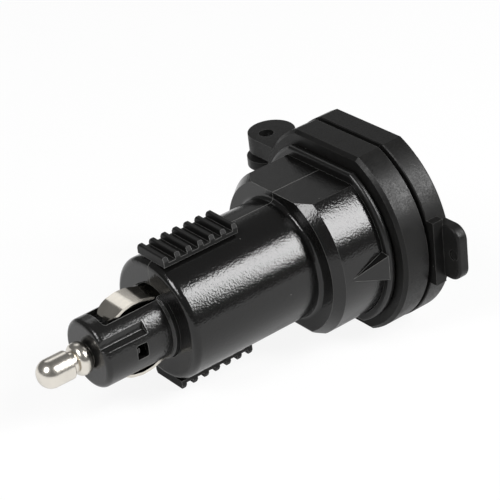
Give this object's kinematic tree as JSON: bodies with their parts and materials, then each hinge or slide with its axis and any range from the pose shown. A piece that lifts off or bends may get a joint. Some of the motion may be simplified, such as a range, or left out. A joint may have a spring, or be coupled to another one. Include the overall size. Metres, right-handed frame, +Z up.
{
  "type": "usb car charger",
  "caption": "Black 12 V plug-in USB charger with a slim stepped plug nose, sprung earth contacts, ribbed grips, wide collar and a hinged spring lid with a finger tab over the ports.",
  "frame": {"origin": "on the plug axis at the body's front shoulder", "axes": "+X from the plug tip towards the lid, +Y towards the lid's hinge, +Z up, square to the flats of the collar and lid"},
  "size_m": [0.0707, 0.049, 0.034],
  "materials": {
    "gloss_black": "gloss",
    "satin_black": "satin",
    "nose_black": "semi-gloss",
    "insert_black": "matte",
    "nickel": "polished nickel plate",
    "steel": "bright",
    "seal_rubber": "matte",
    "port_plastic": "satin",
    "contact_gold": "bright plate",
    "board_green": "satin",
    "can_aluminium": "satin",
    "ferrite": "matte",
    "component_black": "matte",
    "lead_red": "satin",
    "lead_black": "satin"
  },
  "bodies": {
    "charger": {"near_shell": "gloss_black", "far_shell": "gloss_black", "locking_ring": "gloss_black", "upper_grip": "satin_black", "lower_grip": "satin_black", "hinge_base": "satin_black", "plug_nose": "nose_black", "socket_insert": "insert_black", "centre_contact": "nickel", "retaining_washer": "steel", "earth_strap": "steel", "hinge_pin": "steel", "hinge_spring": "steel", "upper_usb_shell": "steel", "lower_usb_shell": "steel", "upper_usb_tongue": "port_plastic", "lower_usb_tongue": "port_plastic", "usb_contacts": "contact_gold", "circuit_board": "board_green", "input_capacitor": "can_aluminium", "output_capacitor": "can_aluminium", "inductor": "ferrite", "regulator_chip": "component_black", "rectifier_diode": "component_black", "resettable_fuse": "component_black", "chip_components": "component_black", "positive_lead": "lead_red", "earth_lead": "lead_black"},
    "lid_body": {"lid": "satin_black", "lid_seal": "seal_rubber"},
    "upper_leaf": {"upper_earth_contact": "nickel"},
    "lower_leaf": {"lower_earth_contact": "nickel"}
  },
  "joints": [
    {"name": "lid_hinge", "type": "hinge", "parent": "charger", "child": "lid_body", "pos_m": [0.042, 0.0217, 0], "axis": [0, 0, 1], "range_deg": [0, 110], "stiffness_Nm_per_rad": 0.01, "springref_deg": -68.75, "deforming": ["hinge_spring"]},
    {"name": "upper_contact_flex", "type": "hinge", "parent": "charger", "child": "upper_leaf", "pos_m": [0, 0, 0.00535], "axis": [0, -1, 0], "range_deg": [0, 7], "stiffness_Nm_per_rad": 0.002, "springref_deg": -2.86},
    {"name": "lower_contact_flex", "type": "hinge", "parent": "charger", "child": "lower_leaf", "pos_m": [0, 0, -0.00535], "axis": [0, 1, 0], "range_deg": [0, 7], "stiffness_Nm_per_rad": 0.002, "springref_deg": -2.86}
  ]
}
